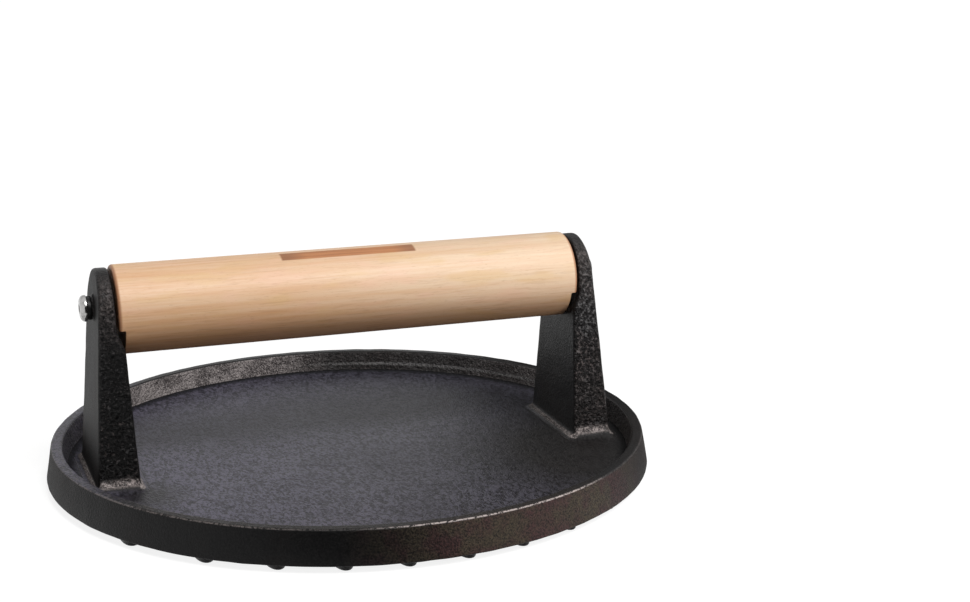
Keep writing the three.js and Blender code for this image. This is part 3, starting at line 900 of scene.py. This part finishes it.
# The painted highlight line runs along the inner wall at one height.
foot_highlight_line = here["highlight_line"] * (1 - (height - line_height).math("ABSOLUTE").ramp(0.2 * mm, 0.7 * mm))
broken = (fine * 0.75 + sand * 0.25).ramp(0.30, 0.60)
skin_colour = layered(
    skin_colour,
    # Grains with painted glints.
    (here["glinting_grains"] * grains, grain_glint_colour),
    # Painted shade on the left upright's sides, with painted glints over it.
    (here["shaded"] * 0.9, side_black),
    (here["shaded"] * grains.ramp(0.5, 1) * 0.34, grain_glint_colour),
    # Bare grains, with painted light and highlights.
    (here["bare_and_lit_mask"] * (1 - gaps), bare_and_lit),
    # The painted highlight line along the foot of the inner wall.
    (foot_highlight_line * fine.ramp(0.32, 0.56) * 0.75, highlight_line_grey),
    # Wear, and painted highlights on the rim and on the feet.
    (here["wear_and_highlights"] * broken * (1 - gaps), wear_and_highlight_grey),
    (here["under"], mixed(coarse, groove_dark, groove_pale)),
    (ground * (1 - pits * 0.85), mixed(coarse, tip_dark, tip_pale)),
)
print("iron nodes so far:", len(tree.nodes))

# %% Iron shine and relief
dull = 0.43 - here["floor"] * 0.03 - here["grit"] * 0.12 + here["dulled"] * 0.22
dull = dull + (patches - 0.5) * 0.12 + here["crease_shade"] * 0.5
relief = sand * (0.03 + here["grit"] * 0.42) + fine * (0.12 + here["grit"] * 0.02 - here["floor"] * 0.04)
relief = relief + mottle * here["floor"] * 0.05 + coarse * here["under"] * 0.12
surface(
    tree, base_color=skin_colour, roughness=dull, metallic=ground * 0.2, specular_ior_level=0.16,
    normal=bumped(relief, 1 * mm),
)
coat(iron, casting)
print("iron nodes:", len(tree.nodes))

# %% [markdown]
# The handle
#
# The handle is a turned beech dowel with softened ends. A flat step is cut under each end to sit over the
# upright's shoulder, and a blind hole in each end takes the brass insert.

# %% Handle
handle_core, handle_edge = 0.8 * mm, 0.9 * mm
handle_line = np.concatenate([
    [[handle_core, -handle_half_length]],
    arc((handle_radius - handle_edge, -handle_half_length + handle_edge), handle_edge, -90, 0, 6),
    arc((handle_radius - handle_edge, handle_half_length - handle_edge), handle_edge, 0, 90, 6),
    [[handle_core, handle_half_length]],
])
dowel_mesh = skin("dowel", turned_along(axis_height, filled(handle_line, 2.5 * mm), 144))

notch_face = foot_inner + inner_lean * (shoulder_bottom - floor_top) - 0.5 * mm
notch_top = shoulder_top + 0.3 * mm
notch_edge, notch_depth, beyond = 0.35 * mm, 14 * mm, 2 * mm


def notch_rings():
    """Rings along Y of the cutter for the step: an oblong whose inner upper corner is rounded."""
    end = handle_half_length + beyond
    corner = arc((notch_face + notch_edge, notch_top - notch_edge), notch_edge, 180, 90, 4)
    outline = np.concatenate([
        [[notch_face, notch_top - notch_depth]], corner,
        [[end, notch_top], [end, notch_top - notch_depth]],
    ])
    across = np.array([-15, 15])[:, None] * mm
    xs, zs = outline[:, 0] + 0 * across, outline[:, 1] + 0 * across
    return np.stack([xs, across + 0 * xs, zs], axis=-1)


insert_outer, insert_length, pilot_radius = handle_half_length - 0.2 * mm, 10 * mm, 3.3 * mm
pilot_line = np.array([
    [pilot_radius, insert_outer - insert_length - 1.2 * mm],
    [pilot_radius, handle_half_length + beyond],
])
handle_mesh = combined("handle", dowel_mesh, [
    ("DIFFERENCE", both_ends("steps", notch_rings())),
    ("DIFFERENCE", both_ends("pilots", turned_along(screw_height, pilot_line, 48))),
])
handle_mesh.shade_smooth()
handle_mesh.set_sharp_from_angle(angle=np.radians(35))
handle = piece("beech_handle", handle_mesh, "press", "wooden_handle")
print("handle faces:", len(handle_mesh.polygons))

# %% [markdown]
# Beech
#
# Beech is pale and even: growth rings show as faint straight bands along the dowel, with fine darker
# streaks and short flecks between them. The rings are a sine of the distance from a heart beside the
# dowel, and the rest is noise that is stretched along it. The colour is painted paler towards the right
# end as a painted sheen, and darker and browner underneath as painted shade. On top, between the middle
# and the front, a bare oblong panel is scorched into the wood: brown, softer at its border and darker at
# its ends.

# %% Beech grain
beech, tree = material("oiled_beech")
place = object_point(tree)
along, forward = coordinate(place, "X"), coordinate(place, "Y")
up = coordinate(place, "Z") - axis_height

ring_width, heart_before, heart_above = 2.3 * mm, 21 * mm, 13 * mm
warp = noise(object_point(tree, (0.12, 1, 1)), 9 * mm)
from_heart_y = forward + heart_before + (warp - 0.5) * (4 * mm)
from_heart_z = up - heart_above + (warp - 0.5) * (3 * mm)
heart = (from_heart_y * from_heart_y + from_heart_z * from_heart_z).math("SQRT")
rings = (heart * (2 * np.pi / ring_width)).math("SINE") * 0.5 + 0.5
bands = noise(object_point(tree, (0.04, 1, 1)), 3.2 * mm, detail=3, roughness=0.6)
streaks = noise(object_point(tree, (0.03, 1, 1)), 0.55 * mm, detail=3, roughness=0.65)
flecks = noise(object_point(tree, (0.12, 1, 1)), 0.22 * mm, detail=1).ramp(0.62, 0.74)
fibres = noise(object_point(tree, (0.07, 1, 1)), 0.7 * mm, roughness=0.6).ramp(0.54, 0.68)
tint = noise(object_point(tree, (0.3, 1, 1)), 6 * mm, roughness=0.6)
tone = rings * 0.10 + bands * 0.55 + streaks * 0.45 - 0.05
print("beech grain nodes:", len(tree.nodes))

# %% Beech colours
rose, honey, shade_brown = colour(227, 182, 156), colour(214, 178, 124), colour(196, 134, 80)
fibre_brown, fleck_brown, end_brown = colour(160, 104, 64), colour(160, 106, 64), colour(142, 86, 48)

# Both base colours are painted paler towards the right end, a painted sheen.
sheen_towards_right = along.ramp(-45 * mm, 60 * mm)
pale = mixed(sheen_towards_right, colour(222, 188, 154), colour(226, 203, 176))
deep = mixed(sheen_towards_right, colour(210, 161, 117), colour(216, 181, 147))
# Painted shade: darker and browner underneath, with more brown fibres there.
shade_downward = (up * -1).ramp(-4 * mm, 12 * mm)
end_grain = along.math("ABSOLUTE").ramp(handle_half_length - 1.1 * mm, handle_half_length - 0.4 * mm)
wood = layered(
    mixed(tone.ramp(0.25, 0.8), pale, deep),
    (tint.ramp(0.52, 0.68) * 0.35, rose),
    ((1 - tint).ramp(0.52, 0.68) * 0.4, honey),
    (shade_downward * 0.55, shade_brown),
    (fibres * (0.14 + shade_downward * 0.16), fibre_brown),
    (flecks * 0.2, fleck_brown),
    (end_grain * 0.8, end_brown),
)
print("beech nodes so far:", len(tree.nodes))

# %% Scorched panel
panel_middle, panel_sides, panel_ends = 75, (8.9, 10.6), (19.8 * mm, 20.6 * mm)
round_angle = up.math("ARCTAN2", forward * -1) * (180 / np.pi)
ragged = (noise(place, 1.1 * mm) - 0.5) * 1.2 * (0.2 * mm)
across_panel = 1 - (round_angle - panel_middle).math("ABSOLUTE").ramp(*panel_sides)
along_panel = 1 - ((along + 0.4 * mm).math("ABSOLUTE") + ragged).ramp(*panel_ends)
panel = across_panel * along_panel
scorched = mixed(streaks.ramp(0.35, 0.7), colour(184, 120, 72), colour(156, 98, 56))
scorched = mixed(along.math("ABSOLUTE").ramp(12 * mm, 19 * mm) * 0.65, scorched, colour(112, 68, 40))
wood = mixed(panel * 0.92, wood, scorched)
print("panel, degrees above the front:", panel_middle, "half length, mm:", round(panel_ends[1] / mm, 1))

# %% Beech shine and relief
relief = streaks * 0.5 + flecks * -0.5 + panel * -1.2
surface(
    tree, base_color=wood, roughness=0.45 + streaks * 0.14 + panel * 0.14, specular_ior_level=0.68,
    normal=bumped(relief, 0.05 * mm, strength=0.6),
)
coat(beech, handle)
print("beech nodes:", len(tree.nodes))

# %% [markdown]
# The screws
#
# Each M4 button-head screw is one skin from the floor of its hexagon socket, over the low domed head and
# along the thread to the tip. The thread is a real helix: its radius falls and rises once per 0.7 mm
# along the screw, and the wave turns with the angle, so it shows when the screw backs out.

# %% Screws
thread_pitch, thread_radius, thread_depth = 0.7 * mm, 2 * mm, 0.38 * mm
head_radius, head_height, head_rim, flat_radius = 3.8 * mm, 1.9 * mm, 0.5 * mm, 1.7 * mm
head_edge, neck_round = 0.12 * mm, 0.2 * mm
socket_half_flats, socket_depth = 1.25 * mm, 1.3 * mm
screw_length, thread_start, tip_radius = 16 * mm, 1.2 * mm, 1.2 * mm
screw_turn = np.linspace(0, 2 * np.pi, 60, endpoint=False)


def screw_rings():
    """Rings from the socket floor to the tip: radius and place, both arrays of levels by angles.

    The socket's radius is a hexagon's: half its flats over the cosine of the angle from a flat's middle.
    Along the thread the radius loses a triangle wave of place / pitch + turn / full turn.
    """
    top = head_seat + head_height
    six = socket_half_flats / np.cos((screw_turn + np.pi / 6) % (np.pi / 3) - np.pi / 6)
    socket = [
        (0.25 * six, top - socket_depth - 0.25 * mm), (0.96 * six, top - socket_depth),
        (six, top - socket_depth + 0.1 * mm), (six, top - head_edge), (1.08 * six, top),
    ]
    rise = np.radians(np.linspace(90, 0, 12))[1:]
    dome_out = flat_radius + (head_radius - flat_radius) * np.cos(rise)
    dome_up = head_seat + head_rim + (head_height - head_rim) * np.sin(rise)
    rim = arc((head_radius - head_edge, head_seat + head_edge), head_edge, 0, -90, 3)
    neck = arc((thread_radius + neck_round, head_seat - neck_round), neck_round, 90, 180, 3)
    round_levels = [(flat_radius, top), *zip(dome_out, dome_up), *rim, *neck]
    levels = socket + [(radius + 0 * six, along) for radius, along in round_levels]

    stations = np.arange(thread_start, screw_length - 0.05 * mm, thread_pitch / 8)[:, None]
    wave = np.abs(((stations / thread_pitch + screw_turn / (2 * np.pi)) % 1) - 0.5) * 2
    depth = thread_depth * np.clip((wave - 0.1) / 0.8, 0, 1)
    depth = depth * np.clip((stations - thread_start) / (0.8 * mm), 0, 1)
    chamfer = np.clip((stations - screw_length + 0.6 * mm) / (0.6 * mm), 0, 1) * 0.5 * mm
    thread = np.minimum(thread_radius - depth, thread_radius - chamfer)
    tip = np.full((1, screw_turn.size), tip_radius)

    radii = np.concatenate([[radius for radius, _ in levels], thread, tip])
    along = np.concatenate([[x for _, x in levels], head_seat - stations[:, 0], [head_seat - screw_length]])
    along = along[:, None] + 0 * radii
    return np.stack([along, radii * np.cos(screw_turn), screw_height + radii * np.sin(screw_turn)], axis=-1)


screws = piece_pair("screw", "button_head_screw", screw_rings(), 38, "handle_screw")
print("screw faces:", [len(made.data.polygons) for made in screws])

# %% [markdown]
# Bright steel
#
# The head was turned and polished, so it mirrors the studio, a little softer in rings about its axis and
# where hands and tools have dulled it. The rings are noise of one number, the distance from the axis.

# %% Bright steel finish
steel, tree = material("bright_steel")
place = object_point(tree)
across, upwards = coordinate(place, "Y"), coordinate(place, "Z") - screw_height
from_axis = (across * across + upwards * upwards).math("SQRT")
turning = noise(node(tree, "ShaderNodeCombineXYZ", inputs={"X": from_axis}), 0.09 * mm)
handling = noise(place, 1.4 * mm, detail=3, roughness=0.6)
steel_pale, steel_dark = (0.44, 0.435, 0.43, 1), (0.27, 0.265, 0.26, 1)
surface(
    tree, base_color=mixed(handling.ramp(0.4, 0.7), steel_pale, steel_dark), metallic=1.0,
    roughness=0.14 + turning * 0.10 + handling.ramp(0.5, 0.8) * 0.12,
    normal=bumped(turning, 0.008 * mm, strength=0.5),
)
coat(steel, *screws)
print("steel nodes:", len(tree.nodes))

# %% [markdown]
# The spring washers
#
# A split spring washer is a ring of square wire, cut through at a slant, whose two ends stand a hair
# apart. Here the wire's rounded section is carried round nearly a full turn, and it climbs a little on
# the way, as the real one does when it is pressed flat.

# %% Washers
def washer_rings():
    """Sections carried round the screw: for each angle a rounded oblong in radius and place along X.

    A point lies at its radius times the cosine and sine of its turn. The turn is slanted in proportion to
    the place, and the place climbs in proportion to the turn.
    """
    inner, outer, thick, corner = 2.3 * mm, 3.4 * mm, 1.2 * mm, 0.18 * mm
    gap, full_slant, full_climb, narrowing = np.radians(12), np.radians(16), 0.04 * mm, 0.06
    turn = np.linspace(np.pi / 2 + gap / 2, np.pi / 2 + 2 * np.pi - gap / 2, 91)[:, None]
    low = seat_face + 0.05 * mm
    high = low + thick
    far, near, over, under = outer - corner, inner + corner, high - corner, low + corner
    corners = enumerate([(far, over), (near, over), (near, under), (far, under)])
    section = np.concatenate([arc(place, corner, 90 * k, 90 * k + 90, 3) for k, place in corners])
    radius, along = section[None, :, 0], section[None, :, 1]
    middle = (low + high) / 2
    angle = turn + (along - middle) / thick * full_slant
    share = (turn - turn.mean()) / (turn[-1] - turn[0])
    narrow = 1 - narrowing * np.abs(share) * 2
    place = middle + (along - middle) * narrow + share * full_climb + 0 * angle
    return np.stack([place, radius * np.cos(angle), screw_height + radius * np.sin(angle)], axis=-1)


washers = piece_pair("washer", "split_washer", washer_rings(), 40, "spring_washer")
print("washer faces:", [len(made.data.polygons) for made in washers])

# %% [markdown]
# Blackened steel and brass
#
# The washers are spring steel with a black, slightly oily skin, rubbed to grey in places. The inserts in
# the handle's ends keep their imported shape. They are turned brass, which tarnishes in soft brown spots,
# so one soft noise drives both its colour and its roughness.

# %% Blackened steel finish
black, tree = material("blackened_steel")
place = object_point(tree)
oily = noise(place, 0.8 * mm, detail=3, roughness=0.6)
rubbed = noise(place, 2.2 * mm).ramp(0.55, 0.8)
oxide, rubbed_grey = (0.006, 0.006, 0.0065, 1), (0.04, 0.039, 0.038, 1)
surface(
    tree, base_color=mixed(rubbed * 0.4, oxide, rubbed_grey), metallic=0.2, roughness=0.34 + oily * 0.16,
    specular_ior_level=0.25, normal=bumped(oily, 0.02 * mm, strength=0.5),
)
coat(black, *washers)
print("blackened steel nodes:", len(tree.nodes))

# %% Brass finish
brass, tree = material("turned_brass")
ridges = noise(object_point(tree, (1, 0.1, 0.1)), 0.2 * mm)
tarnish = noise(object_point(tree), 1.8 * mm, detail=3)
clean_brass, brown_brass = (0.78, 0.58, 0.27, 1), (0.50, 0.35, 0.15, 1)
surface(
    tree, base_color=mixed(tarnish.ramp(0.4, 0.75), clean_brass, brown_brass), metallic=1.0,
    roughness=0.26 + tarnish * 0.2, normal=bumped(ridges, 0.015 * mm, strength=0.5),
)
inserts = [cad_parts[f"threaded_insert_{side}"] for side in ("right", "left")]
coat(brass, *inserts)
print("inserts with brass:", len(inserts))
